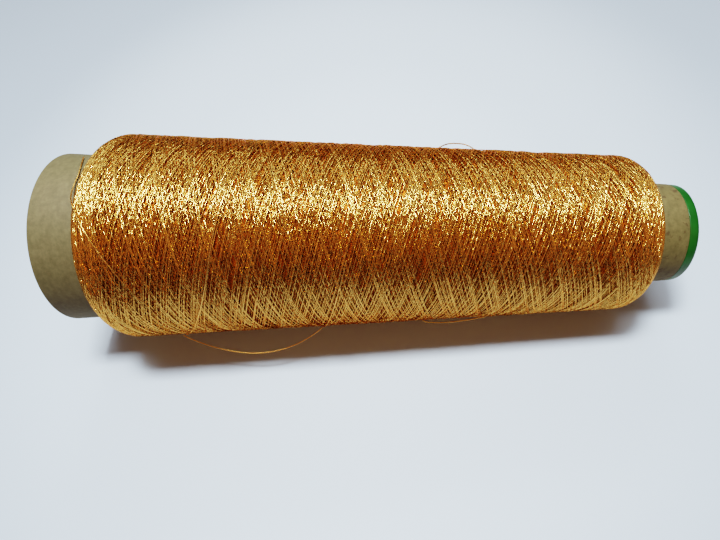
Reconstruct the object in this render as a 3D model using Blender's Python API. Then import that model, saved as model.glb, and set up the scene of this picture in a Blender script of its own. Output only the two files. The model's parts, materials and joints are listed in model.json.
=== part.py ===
# Spool of metallic embroidery thread: one gold thread cross-wound into a package on a
# tapered paper cone, lying on its side. Sizes are in millimetres, the scene in metres.
#
# Frame: the origin is the centre of the narrow strip on which the package rests, +X runs
# along that strip from the wide (base) end towards the nose, and +Z is up. The cone's own
# axis leans down towards the nose by the package's half taper, so that the package's lowest
# line lies level on the table.
#
# Pieces are drawn in the cone's frame: s runs along the axis from the base rim, r is the
# radius, and phi is the angle in degrees from the top towards the front (-Y).
import math

import bmesh
import bpy
from mathutils import Vector

MM = 0.001

# ---- paper cone ------------------------------------------------------------------------
CONE_LENGTH = 170.0
CONE_BASE_R = 23.80
CONE_NOSE_R = 13.43
CONE_TAPER = (CONE_BASE_R - CONE_NOSE_R) / CONE_LENGTH

OUTER_PLY_T = 0.35
CORE_PLY_T = 0.95
INNER_PLY_T = 0.35
PLY_GAP = 0.25

# Depths of the plies' faces under the cone's outer surface.
CORE_OUTSIDE = OUTER_PLY_T + PLY_GAP
CORE_INSIDE = CORE_OUTSIDE + CORE_PLY_T
CORE_MIDDLE = (CORE_OUTSIDE + CORE_INSIDE) / 2
LINER_OUTSIDE = CORE_INSIDE + PLY_GAP
LINER_INSIDE = LINER_OUTSIDE + INNER_PLY_T

# ---- thread package --------------------------------------------------------------------
PACKAGE_START = 11.24
PACKAGE_END = 159.42
BASE_SHOULDER = 7.7            # axial length of the rounded shoulders
NOSE_SHOULDER = 8.35
BASE_SHOULDER_POWER = 1.80     # superellipse powers of the shoulders
NOSE_SHOULDER_POWER = 2.07
STRAIGHT_START = PACKAGE_START + BASE_SHOULDER
STRAIGHT_END = PACKAGE_END - NOSE_SHOULDER
PACKAGE_BASE_R = 29.10         # radii at the two ends of the straight taper
PACKAGE_NOSE_R = 21.84
PACKAGE_TAPER = (PACKAGE_BASE_R - PACKAGE_NOSE_R) / (STRAIGHT_END - STRAIGHT_START)
OUTER_LAYS_T = 2.4
LAYER_GAP = 0.3

LEAN = math.atan(PACKAGE_TAPER)
REST_SINK = 0.20               # how far the lowest turns are pressed flat by the table

# ---- thread ----------------------------------------------------------------------------
THREAD_R = 0.16
SURFACE_GAP = 0.25
THREAD_LIFT = SURFACE_GAP + THREAD_R       # thread's centre above the surface it lies on
THREAD_TOP = SURFACE_GAP + 2 * THREAD_R

# ---- facets ----------------------------------------------------------------------------
PACKAGE_SEGMENTS = 60
INNER_LAYS_SEGMENTS = 40
PAPER_SEGMENTS = 48
THREAD_SIDES = 6
TURN_SIDES = 5                 # sides of the thread in turns wound on the paper
SHARP_ANGLE = math.radians(40.0)


# ---- surfaces of the cone and the package ----------------------------------------------
def paper_r(s):
    """Outer radius of the paper cone."""
    return CONE_BASE_R - CONE_TAPER * s


def shoulder_r(foot, top, u, power):
    """Radius on a superellipse shoulder; u runs from 0 at its top to 1 at its foot."""
    return foot + (top - foot) * (1 - u**power) ** (1 / power)


def package_r(s, grow=0.0):
    """Outer radius of the package, offset outwards by grow; the bare paper beyond its ends."""
    start, end = PACKAGE_START - grow, PACKAGE_END + grow
    if s <= start or s >= end:
        return paper_r(s)
    if s < STRAIGHT_START:
        u = (STRAIGHT_START - s) / (STRAIGHT_START - start)
        return shoulder_r(paper_r(start), PACKAGE_BASE_R + grow, u, BASE_SHOULDER_POWER)
    if s > STRAIGHT_END:
        u = (s - STRAIGHT_END) / (end - STRAIGHT_END)
        return shoulder_r(paper_r(end), PACKAGE_NOSE_R + grow, u, NOSE_SHOULDER_POWER)
    return PACKAGE_BASE_R + grow - PACKAGE_TAPER * (s - STRAIGHT_START)


def package_line(grow, shoulder_steps, straight_steps):
    """(s, r) points of the package surface offset by grow, from the base end to the nose."""
    start, end = PACKAGE_START - grow, PACKAGE_END + grow
    quarter_turns = [0.5 * math.pi * k / shoulder_steps for k in range(shoulder_steps + 1)]
    straight = STRAIGHT_END - STRAIGHT_START
    stations = [start + (STRAIGHT_START - start) * (1 - math.cos(a)) for a in quarter_turns[:-1]]
    stations += [STRAIGHT_START + straight * k / straight_steps for k in range(straight_steps + 1)]
    stations += [STRAIGHT_END + (end - STRAIGHT_END) * math.sin(a) for a in quarter_turns[1:]]
    return [(s, max(package_r(s, grow), paper_r(s) + LAYER_GAP)) for s in stations]


def point(s, r, phi):
    """Point in the cone's frame, in millimetres."""
    angle = math.radians(phi)
    return Vector((-r * math.cos(angle), -r * math.sin(angle), s))


# ---- scene and cone axis ---------------------------------------------------------------
for old in list(bpy.data.objects):
    bpy.data.objects.remove(old, do_unlink=True)
scene = bpy.context.scene


def make_cone_axis():
    """Parent of every piece; its local Z runs along the cone from base rim to nose."""
    middle_s = (STRAIGHT_START + STRAIGHT_END) / 2
    middle_r = (PACKAGE_BASE_R + PACKAGE_NOSE_R) / 2
    base_centre = Vector((
        middle_r * math.sin(LEAN) - middle_s * math.cos(LEAN),
        0.0,
        PACKAGE_BASE_R * math.cos(LEAN) + STRAIGHT_START * math.sin(LEAN) - REST_SINK,
    ))
    axis = bpy.data.objects.new("cone_axis", None)
    scene.collection.objects.link(axis)
    axis.location = base_centre * MM
    axis.rotation_euler = (0.0, math.pi / 2 + LEAN, 0.0)
    bpy.context.view_layer.update()     # brings matrix_world up to date
    return axis


cone_axis = make_cone_axis()


# ---- materials -------------------------------------------------------------------------
def material(name, rgb, roughness, metallic=0.0):
    mat = bpy.data.materials.new(name)
    mat.use_nodes = True
    shader = mat.node_tree.nodes["Principled BSDF"]
    shader.inputs["Base Color"].default_value = (*rgb, 1.0)
    shader.inputs["Roughness"].default_value = roughness
    shader.inputs["Metallic"].default_value = metallic
    mat.diffuse_color = (*rgb, 1.0)
    return mat


grey_board = material("grey_board", rgb=(0.30, 0.27, 0.20), roughness=0.9)
olive_wrap = material("olive_wrap_paper", rgb=(0.28, 0.25, 0.15), roughness=0.85)
liner_paper = material("liner_paper", rgb=(0.34, 0.31, 0.23), roughness=0.9)
green_lacquer = material("green_nose_lacquer", rgb=(0.010, 0.16, 0.022), roughness=0.25)
gold_inner = material("gold_thread_inner", rgb=(0.62, 0.33, 0.08), roughness=0.35, metallic=0.9)
gold = material("gold_thread", rgb=(0.80, 0.50, 0.14), roughness=0.3, metallic=0.9)
gold_loose = material("gold_thread_loose", rgb=(0.85, 0.58, 0.20), roughness=0.3, metallic=0.9)


# ---- mesh builders ---------------------------------------------------------------------
def finish(name, bm, mat, origin=Vector((0, 0, 0))):
    """Makes the object from points in the cone's frame, with its origin at origin."""
    bmesh.ops.recalc_face_normals(bm, faces=bm.faces)
    for vert in bm.verts:
        vert.co = (vert.co - origin) * MM
    mesh = bpy.data.meshes.new(name)
    bm.to_mesh(mesh)
    bm.free()
    mesh.shade_smooth()
    mesh.set_sharp_from_angle(angle=SHARP_ANGLE)
    mesh.materials.append(mat)
    obj = bpy.data.objects.new(name, mesh)
    scene.collection.objects.link(obj)
    obj.parent = cone_axis
    obj.location = origin * MM
    return obj


def join_rings(bm, ring, following):
    """Closes the band of quads between two rings of equal length."""
    for i in range(len(ring)):
        j = (i + 1) % len(ring)
        bm.faces.new((ring[i], ring[j], following[j], following[i]))


def turned(name, profile, segments, mat):
    """Revolves a closed (s, r) profile about the axis; one vertex row is at the bottom."""
    bm = bmesh.new()
    rings = []
    for k in range(segments):
        phi = 180.0 + 360.0 * k / segments
        rings.append([bm.verts.new(point(s, r, phi)) for s, r in profile])
    for k in range(segments):
        join_rings(bm, rings[k], rings[(k + 1) % segments])
    return finish(name, bm, mat)


def thread(name, line, sides, mat, origin=Vector((0, 0, 0))):
    """A round thread along the points of line, closed by a flat cap at each end."""
    bm = bmesh.new()
    last = len(line) - 1
    side = None
    rings = []
    for i, centre in enumerate(line):
        tangent = (line[min(i + 1, last)] - line[max(i - 1, 0)]).normalized()
        if side is None:
            side = tangent.orthogonal().normalized()
        # Carrying the side direction along the line keeps the tube from twisting.
        side = (side - tangent * side.dot(tangent)).normalized()
        up = tangent.cross(side)
        ring = []
        for k in range(sides):
            angle = 2 * math.pi * k / sides
            spoke = side * math.cos(angle) + up * math.sin(angle)
            ring.append(bm.verts.new(centre + spoke * THREAD_R))
        rings.append(ring)
    for ring, following in zip(rings, rings[1:]):
        join_rings(bm, ring, following)
    bm.faces.new(list(reversed(rings[0])))
    bm.faces.new(rings[-1])
    return finish(name, bm, mat, origin)


def turns_on_paper(name, start, end, turns, phi_start, steps, mat):
    """Thread wound evenly round the paper cone from station start to station end."""
    line = []
    for k in range(steps + 1):
        s = start + (end - start) * k / steps
        phi = phi_start + 360.0 * turns * k / steps
        line.append(point(s, paper_r(s) + THREAD_LIFT, phi))
    thread(name, line, TURN_SIDES, mat)


# ---- paper plies and nose band ---------------------------------------------------------
BAND_START = CONE_LENGTH - 2.75
BAND_RETURN = 0.9              # how far the band runs back inside from its roll's centre
CORE_NOSE = CONE_LENGTH - OUTER_PLY_T - PLY_GAP

# The core's rounded nose edge and the band's roll over it share one centre.
CORE_LIP_R = CORE_PLY_T / 2
BAND_LIP_INNER_R = CORE_LIP_R + PLY_GAP
BAND_LIP_OUTER_R = BAND_LIP_INNER_R + OUTER_PLY_T
LIP_CENTRE_S = CORE_NOSE - CORE_LIP_R
LIP_CENTRE_R = paper_r(CORE_NOSE) - CORE_MIDDLE


def lip_arc(radius, steps):
    """Half circle round the nose edge, from the outside of the cone to its inside."""
    angles = [math.pi * k / steps for k in range(steps + 1)]
    return [
        (LIP_CENTRE_S + radius * math.sin(a), LIP_CENTRE_R + radius * math.cos(a))
        for a in angles
    ]


def paper_sheet(name, outside, inside, mat):
    """A conical ply between two depths, ending just short of the nose band."""
    end = BAND_START - PLY_GAP
    profile = [
        (0.0, paper_r(0.0) - outside),
        (end, paper_r(end) - outside),
        (end, paper_r(end) - inside),
        (0.0, paper_r(0.0) - inside),
    ]
    turned(name, profile, PAPER_SEGMENTS, mat)


def core_ply():
    profile = [(0.0, paper_r(0.0) - CORE_OUTSIDE)]
    profile += lip_arc(CORE_LIP_R, steps=6)
    profile.append((0.0, paper_r(0.0) - CORE_INSIDE))
    turned("cone_core_ply", profile, PAPER_SEGMENTS, grey_board)


def nose_band():
    """Wraps the outside of the nose, rolls over its edge and returns a little inside."""
    return_s = LIP_CENTRE_S - BAND_RETURN
    return_middle_r = paper_r(return_s) - CORE_MIDDLE
    profile = [(BAND_START, paper_r(BAND_START))]
    profile += lip_arc(BAND_LIP_OUTER_R, steps=8)
    profile.append((return_s, return_middle_r - BAND_LIP_OUTER_R))
    profile.append((return_s, return_middle_r - BAND_LIP_INNER_R))
    profile += reversed(lip_arc(BAND_LIP_INNER_R, steps=6))
    profile.append((BAND_START, paper_r(BAND_START) - OUTER_PLY_T))
    turned("nose_color_band", profile, PAPER_SEGMENTS, green_lacquer)


paper_sheet("cone_outer_ply", 0.0, OUTER_PLY_T, olive_wrap)
paper_sheet("cone_inner_ply", LINER_OUTSIDE, LINER_INSIDE, liner_paper)
core_ply()
nose_band()

# ---- starting turns, under the package -------------------------------------------------
START_TURNS = 3
START_PITCH = 1.0
START_FROM = 24.0
START_TO = START_FROM + START_PITCH * START_TURNS

turns_on_paper("starting_turns", START_FROM, START_TO, START_TURNS,
               phi_start=90.0, steps=30 * START_TURNS, mat=gold_inner)

# ---- package ---------------------------------------------------------------------------
GROOVE_MARGIN = 0.6            # groove's reach past the starting turns at each end


def press_flat(obj):
    """Moves vertices below the table plane z = 0 straight up onto it."""
    to_world = cone_axis.matrix_world.copy()
    to_cone = to_world.inverted()
    for vert in obj.data.vertices:
        place = to_world @ vert.co
        if place.z < 0.0:
            vert.co = to_cone @ Vector((place.x, place.y, 0.0))


def outer_lays():
    top = package_line(0.0, shoulder_steps=7, straight_steps=4)
    underside = package_line(-OUTER_LAYS_T, shoulder_steps=5, straight_steps=2)
    profile = top + underside[::-1]
    press_flat(turned("thread_outer_lays", profile, PACKAGE_SEGMENTS, gold))


def inner_lays():
    """Fills the package under the outer lays, with a groove over the starting turns."""
    profile = package_line(-OUTER_LAYS_T - LAYER_GAP, shoulder_steps=5, straight_steps=2)
    groove_start, groove_end = START_FROM - GROOVE_MARGIN, START_TO + GROOVE_MARGIN
    groove_lift = THREAD_TOP + LAYER_GAP
    profile += [
        (groove_end, paper_r(groove_end) + LAYER_GAP),
        (groove_end, paper_r(groove_end) + groove_lift),
        (groove_start, paper_r(groove_start) + groove_lift),
        (groove_start, paper_r(groove_start) + LAYER_GAP),
    ]
    turned("thread_inner_lays", profile, INNER_LAYS_SEGMENTS, gold_inner)


outer_lays()
inner_lays()

# ---- turns on the bare paper beside the package's base edge ----------------------------
EDGE_FROM = PACKAGE_START - 1.35
EDGE_TO = PACKAGE_START - 0.62

turns_on_paper("base_edge_turns", EDGE_FROM, EDGE_TO, turns=1.7,
               phi_start=-70.0, steps=72, mat=gold)

# ---- running end: round the bare paper, up over the base shoulder, diagonally away -----
RUN_PHI_FROM = -42.0
RUN_PHI_TO = 71.0
RUN_STEPS = 84
RUN_START_S = 8.6
RUN_DRIFT = 0.012              # slow advance along the axis, per degree
CLIMB_PHI = 12.0               # where the strand turns towards the nose
CLIMB_SOFTNESS = 4.0           # degrees over which that turn is eased in
CLIMB_RATE = 0.62              # advance of the climb: rate * degrees ** power
CLIMB_POWER = 0.84
CLEARANCE_SAMPLES = 12         # on each side of a station
TAUT_PASSES = 40


def clear_r(s):
    """Lowest radius at which a loose strand's centre clears the fixed pieces near s."""
    best = paper_r(s) + THREAD_LIFT
    for k in range(-CLEARANCE_SAMPLES, CLEARANCE_SAMPLES + 1):
        offset = THREAD_LIFT * k / CLEARANCE_SAMPLES
        near_s = s + offset
        height = math.sqrt(max(THREAD_LIFT**2 - offset**2, 0.0))
        best = max(best, package_r(near_s) + height)
        if EDGE_FROM - THREAD_R < near_s < EDGE_TO + THREAD_R:
            best = max(best, paper_r(near_s) + THREAD_TOP + height)
    return best


def run_s(phi):
    """Station of the running end at phi."""
    climb = CLIMB_SOFTNESS * math.log1p(math.exp((phi - CLIMB_PHI) / CLIMB_SOFTNESS))
    return RUN_START_S + RUN_DRIFT * (phi - RUN_PHI_FROM) + CLIMB_RATE * climb**CLIMB_POWER


def running_end():
    phis = [RUN_PHI_FROM + (RUN_PHI_TO - RUN_PHI_FROM) * k / RUN_STEPS
            for k in range(RUN_STEPS + 1)]
    stations = [run_s(phi) for phi in phis]
    lowest = [clear_r(s) for s in stations]
    # Averaging neighbours, never below the clear radius, makes the strand bridge hollows.
    radii = lowest
    for _ in range(TAUT_PASSES):
        inside = [max(lowest[i], (radii[i - 1] + radii[i + 1]) / 2) for i in range(1, RUN_STEPS)]
        radii = [radii[0], *inside, radii[-1]]
    line = [point(s, r, phi) for s, r, phi in zip(stations, radii, phis)]
    thread("running_end", line, THREAD_SIDES, gold_loose)


running_end()


# ---- slack loops -----------------------------------------------------------------------
def slack_loop(name, start, end, sag, tip, skew, steps):
    """A loop between two (s, phi) places just off the package, bowing out by sag in a plane
    leaning tip degrees from the surface normal; skew moves its crown along the chord."""
    (start_s, start_phi), (end_s, end_phi) = start, end
    foot_a = point(start_s, package_r(start_s) + THREAD_LIFT, start_phi)
    foot_b = point(end_s, package_r(end_s) + THREAD_LIFT, end_phi)
    chord = (foot_b - foot_a).normalized()
    normal = point(0.0, 1.0, (start_phi + end_phi) / 2)
    normal = (normal - chord * normal.dot(chord)).normalized()
    across = chord.cross(normal)
    out = normal * math.cos(math.radians(tip)) + across * math.sin(math.radians(tip))
    line = []
    for k in range(steps + 1):
        t = k / steps
        skewed = t + skew * t * (1 - t)
        bow = 4 * skewed * (1 - skewed)
        line.append(foot_a + (foot_b - foot_a) * t + out * (sag * bow))
    thread(name, line, THREAD_SIDES, gold_loose, origin=(foot_a + foot_b) / 2)


slack_loop("lower_loop", start=(30.8, 119.0), end=(70.8, 121.0),
           sag=6.5, tip=14.0, skew=-0.16, steps=40)
slack_loop("upper_loop", start=(103.9, -47.0), end=(113.2, -39.0),
           sag=0.8, tip=0.0, skew=0.0, steps=20)
slack_loop("underside_loop", start=(99.5, 123.0), end=(116.5, 105.0),
           sag=0.8, tip=0.0, skew=0.3, steps=24)
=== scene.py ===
# A spool of thread: metallic gold thread cross-wound on a tapered paper cone.
# The cone lies on its side on a table at z = 0, with its nose towards +X. The camera looks
# down on it from the front (-Y). Cone and thread are laid out in mm, in the cone's own frame.
import json
import math

import bpy
import numpy as np
from mathutils import Matrix, Vector


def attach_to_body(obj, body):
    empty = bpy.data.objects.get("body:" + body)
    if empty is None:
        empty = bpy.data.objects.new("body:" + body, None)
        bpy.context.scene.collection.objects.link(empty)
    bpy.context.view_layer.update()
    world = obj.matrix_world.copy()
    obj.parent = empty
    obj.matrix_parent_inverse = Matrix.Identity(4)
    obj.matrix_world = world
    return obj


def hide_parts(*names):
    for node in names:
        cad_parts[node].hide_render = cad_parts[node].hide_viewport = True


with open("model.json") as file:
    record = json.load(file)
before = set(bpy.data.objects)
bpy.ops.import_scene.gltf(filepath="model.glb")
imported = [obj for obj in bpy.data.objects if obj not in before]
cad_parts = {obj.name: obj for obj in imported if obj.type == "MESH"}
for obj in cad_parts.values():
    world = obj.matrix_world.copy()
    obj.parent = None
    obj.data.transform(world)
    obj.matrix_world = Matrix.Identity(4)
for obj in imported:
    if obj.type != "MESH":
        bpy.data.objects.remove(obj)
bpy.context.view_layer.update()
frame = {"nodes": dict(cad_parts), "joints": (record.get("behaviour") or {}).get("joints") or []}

MM = 0.001

# ---------------------------------------------------------------------------------------
# The cone's frame, read from the free end's hinge: s along the axis from the base rim,
# r from the axis, phi from the top of the package towards its front (-Y).
# ---------------------------------------------------------------------------------------
orbit = next(j for j in frame["joints"] if j["name"] == "free_end_orbit")
ORIGIN = np.array(orbit["pos_m"], float) * 1000.0
AXIS = np.array(orbit["axis"], float)
AXIS /= np.linalg.norm(AXIS)
FRONT = np.array([0.0, -1.0, 0.0])
TOP = np.array([0.0, 0.0, 1.0]) - AXIS * AXIS[2]
TOP /= np.linalg.norm(TOP)

# Paper cone, mm
CONE_LENGTH, CONE_BASE_R, CONE_NOSE_R = 170.0, 23.80, 13.43
CONE_TAPER = (CONE_BASE_R - CONE_NOSE_R) / CONE_LENGTH
NOSE_BAND_START = CONE_LENGTH - 2.75

# Thread package, mm: straight flanks between two rounded shoulders
PACKAGE_START, PACKAGE_END = 11.24, 159.42
BASE_SHOULDER, NOSE_SHOULDER = 7.7, 8.35     # lengths along the axis
BASE_POWER, NOSE_POWER = 1.80, 2.07          # superellipse powers; 2 is a plain ellipse
PACKAGE_BASE_R, PACKAGE_NOSE_R = 29.10, 21.84
STRAIGHT_START = PACKAGE_START + BASE_SHOULDER
STRAIGHT_END = PACKAGE_END - NOSE_SHOULDER
PACKAGE_TAPER = (PACKAGE_BASE_R - PACKAGE_NOSE_R) / (STRAIGHT_END - STRAIGHT_START)

# Thread, mm
THREAD_R = 0.16
LOOSE_R = THREAD_R * 0.95       # a loose strand
WOUND_R = 0.104                 # a wound strand, drawn tight
SURFACE_GAP = 0.25              # between a loose strand and the package
REST_HEIGHT = SURFACE_GAP + THREAD_R
PAPER_GAP = 0.02                # between a strand and the paper
TABLE_GAP = 0.005               # between the lowest strands and the table
ANY_PHASE = 6.28                # random phases, in radians, are drawn from 0 to this
ANY_OFFSET = 50                 # as are the lengths at which the film's pattern starts


def paper_r(s):
    return CONE_BASE_R - CONE_TAPER * np.asarray(s, float)


def shoulder_r(inset, foot_s, top_r, power):
    """Radius of a shoulder; inset runs from 0 at its top to 1 at its foot on the paper."""
    inset = np.clip(inset, 0, 1)
    foot = paper_r(foot_s)
    return foot + (top_r - foot) * (1 - inset**power) ** (1 / power)


def package_r(s):
    """Outer surface of the package, and the bare paper outside it."""
    s = np.asarray(s, float)
    base = shoulder_r((STRAIGHT_START - s) / BASE_SHOULDER, PACKAGE_START,
                      PACKAGE_BASE_R, BASE_POWER)
    nose = shoulder_r((s - STRAIGHT_END) / NOSE_SHOULDER, PACKAGE_END,
                      PACKAGE_NOSE_R, NOSE_POWER)
    r = PACKAGE_BASE_R - PACKAGE_TAPER * (s - STRAIGHT_START)
    r = np.where(s < STRAIGHT_START, base, r)
    r = np.where(s > STRAIGHT_END, nose, r)
    return np.where((s <= PACKAGE_START) | (s >= PACKAGE_END), paper_r(s), r)


def radial(phi):
    """Unit vectors that point away from the axis."""
    return np.cos(phi)[..., None] * TOP + np.sin(phi)[..., None] * FRONT


def place(s, r, phi):
    """Points in metres, in the scene; phi in radians."""
    s, r, phi = np.broadcast_arrays(*(np.asarray(v, float) for v in (s, r, phi)))
    up, forward = r * np.cos(phi), r * np.sin(phi)
    return (ORIGIN + s[..., None] * AXIS + up[..., None] * TOP + forward[..., None] * FRONT) * MM


# ---------------------------------------------------------------------------------------
# Material helpers
# ---------------------------------------------------------------------------------------
def rgba(r, g, b):
    return (r, g, b, 1.0)


BLACK, WHITE = rgba(0, 0, 0), rgba(1, 1, 1)


class Nodes:
    """Builds the node tree of a material or world. Values may be numbers or sockets."""

    def __init__(self, owner):
        owner.use_nodes = True
        self.tree = owner.node_tree
        self.tree.nodes.clear()

    def add(self, kind, **values):
        node = self.tree.nodes.new(kind)
        for key, value in values.items():
            setattr(node, key, value)
        return node

    def link(self, source, target):
        self.tree.links.new(source, target)

    def put(self, node, key, value):
        if hasattr(value, "links"):
            self.link(value, node.inputs[key])
        else:
            node.inputs[key].default_value = value

    def math(self, operation, first, second=None, third=None, clamp=False):
        node = self.add("ShaderNodeMath", operation=operation, use_clamp=clamp)
        for key, value in enumerate((first, second, third)):
            if value is not None:
                self.put(node, key, value)
        return node.outputs[0]

    def scaled(self, value, by, plus, clamp=False):
        return self.math("MULTIPLY_ADD", value, by, plus, clamp)

    def vector(self, operation, first, second=None, scale=None):
        node = self.add("ShaderNodeVectorMath", operation=operation)
        self.put(node, 0, first)
        if second is not None:
            self.put(node, 1, second)
        if scale is not None:
            self.put(node, "Scale", scale)
        return node.outputs["Value" if operation == "LENGTH" else "Vector"]

    def coordinates(self, kind="Object"):
        return self.add("ShaderNodeTexCoord").outputs[kind]

    def separate(self, vector):
        node = self.add("ShaderNodeSeparateXYZ")
        self.link(vector, node.inputs[0])
        return node.outputs

    def mix(self, share, first, second, blend="MIX"):
        node = self.add("ShaderNodeMix", data_type="RGBA", blend_type=blend)
        # inputs 6 and 7 are the colour pair
        for key, value in ((0, share), (6, first), (7, second)):
            self.put(node, key, value)
        return node.outputs[2]

    def mix_shaders(self, share, first, second):
        node = self.add("ShaderNodeMixShader")
        for key, socket in enumerate((share, first, second)):
            self.link(socket, node.inputs[key])
        return node.outputs[0]

    def noise(self, vector, scale, detail, rough):
        node = self.add("ShaderNodeTexNoise")
        self.link(vector, node.inputs["Vector"])
        node.inputs["Scale"].default_value = scale
        node.inputs["Detail"].default_value = detail
        node.inputs["Roughness"].default_value = rough
        return node.outputs["Fac"]

    def ramp(self, value, stops, interpolation="LINEAR"):
        """stops: (position, colour)."""
        node = self.add("ShaderNodeValToRGB")
        node.color_ramp.interpolation = interpolation
        elements = node.color_ramp.elements
        while len(elements) < len(stops):
            elements.new(0.5)
        for element, (position, colour) in zip(elements, stops):
            element.position = position
            element.color = colour
        self.link(value, node.inputs[0])
        return node.outputs[0]

    def rise(self, value, start, end, interpolation="LINEAR"):
        """0 below start, 1 above end."""
        return self.ramp(value, [(start, BLACK), (end, WHITE)], interpolation)

    def mottle(self, colour, pattern, start, end, dark, pale):
        """Tints a colour by dark where the pattern is low and by pale where it is high."""
        return self.mix(
            self.rise(pattern, start, end),
            self.mix(1.0, colour, rgba(*dark), "MULTIPLY"),
            self.mix(1.0, colour, rgba(*pale), "MULTIPLY"),
        )

    def bump(self, height, strength, distance):
        node = self.add("ShaderNodeBump")
        node.inputs["Strength"].default_value = strength
        node.inputs["Distance"].default_value = distance
        self.link(height, node.inputs["Height"])
        return node.outputs[0]


def principled(name):
    """A new material with one Principled shader."""
    material = bpy.data.materials.new(name)
    n = Nodes(material)
    output = n.add("ShaderNodeOutputMaterial")
    shader = n.add("ShaderNodeBsdfPrincipled")
    n.link(shader.outputs[0], output.inputs[0])
    return material, n, shader


# ---------------------------------------------------------------------------------------
# Materials
# ---------------------------------------------------------------------------------------
FACET_PITCH = 0.66              # mm of thread to one facet
FILM_PITCH = 0.42               # mm of thread to one wrap of film
TONE_SHIFT = 571.3              # facets by which a strand's tone shifts its pattern
CORE_COLOUR = rgba(0.42, 0.11, 0.012)
COAT = 0.14                     # weight of the lacquer over the film


def gold_material(name, light, deep, roughness, tilt=0.255, tail=0.10, core_share=0.20):
    """Metallised film wrapped round a core: every wrap is a facet with its own tilt and gloss.

    tilt is the usual tip of a facet, tail the extra tip of the rare steep ones, and core_share
    the part of each wrap where the core shows. Attributes: 'strand' is (length along the
    thread in mm, cosine, sine of the angle round it), 'along' is the thread's direction and
    'tone' one number a strand."""
    material, n, shader = principled(name)
    strand = n.add("ShaderNodeAttribute", attribute_name="strand").outputs["Vector"]
    tone = n.add("ShaderNodeAttribute", attribute_name="tone").outputs["Fac"]
    along = n.add("ShaderNodeAttribute", attribute_name="along").outputs["Vector"]
    length, cosine, sine = n.separate(strand)
    turns = n.math("DIVIDE", n.math("ARCTAN2", sine, cosine), 2 * math.pi)

    # three random numbers a facet
    facet = n.math("ADD", n.scaled(length, by=1 / FACET_PITCH, plus=turns),
                   n.math("MULTIPLY", tone, TONE_SHIFT))
    cells = n.add("ShaderNodeTexVoronoi", voronoi_dimensions="1D", feature="F1")
    n.link(facet, cells.inputs["W"])
    cells.inputs["Scale"].default_value = 1.0
    cells.inputs["Randomness"].default_value = 0.8
    split = n.add("ShaderNodeSeparateColor")
    n.link(cells.outputs["Color"], split.inputs[0])
    random_a, random_b, random_c = split.outputs
    broad = n.noise(n.coordinates(), scale=55.0, detail=2.0, rough=0.5)

    # the facet's normal: tipped along the thread and a little to its side
    to_world = n.add("ShaderNodeVectorTransform", vector_type="VECTOR",
                     convert_from="OBJECT", convert_to="WORLD")
    n.link(along, to_world.inputs[0])
    direction = to_world.outputs[0]
    surface = n.add("ShaderNodeNewGeometry").outputs["Normal"]
    # most facets lie nearly flat and a few are tipped far over, which scatters single glints
    rarity = 5.0
    reach = n.scaled(n.math("POWER", random_c, rarity), by=tail, plus=tilt)
    centred_sum = n.math("SUBTRACT", n.math("ADD", random_a, random_b), 1.0)
    tip = n.math("MULTIPLY", centred_sum, reach)
    lean = n.math("MULTIPLY", n.math("SUBTRACT", random_a, 0.5), reach)
    side = n.vector("CROSS_PRODUCT", direction, surface)
    tipped = n.vector("ADD", surface, n.vector("SCALE", direction, scale=tip))
    tipped = n.vector("ADD", tipped, n.vector("SCALE", side, scale=lean))
    normal = n.vector("NORMALIZE", tipped)
    n.put(shader, "Normal", normal)

    # the film's colour varies by facet, by strand and broadly over the package
    facet_share, strand_share, broad_share = 0.35, 0.35, 0.3
    blend = n.math(
        "ADD",
        n.math("MULTIPLY", random_c, facet_share),
        n.math("ADD", n.math("MULTIPLY", tone, strand_share),
               n.math("MULTIPLY", broad, broad_share)),
        clamp=True,
    )
    film = n.mix(blend, deep, light)

    # the dyed core shows between one wrap of film and the next
    turn = n.math("FRACT", n.scaled(length, by=1 / FILM_PITCH, plus=turns))
    core = n.ramp(turn, [
        (0.0, BLACK),
        (1.0 - core_share - 0.08, BLACK),
        (1.0 - core_share + 0.04, WHITE),
        (0.96, WHITE),
        (1.0, BLACK),
    ])
    n.put(shader, "Base Color", n.mix(core, film, CORE_COLOUR))
    n.put(shader, "Metallic", n.scaled(core, by=-0.85, plus=1.0))
    gloss_spread = 0.16
    n.put(shader, "Roughness",
          n.scaled(random_b, by=gloss_spread, plus=roughness - gloss_spread / 2, clamp=True))

    # clear lacquer over the film
    n.put(shader, "Coat Weight", n.scaled(core, by=-COAT, plus=COAT))
    n.put(shader, "Coat Roughness", 0.12)
    n.put(shader, "Coat Normal", normal)
    # the film keeps its colour at a glancing angle
    n.put(shader, "Specular Tint", rgba(1.0, 0.34, 0.15))
    return material


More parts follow.
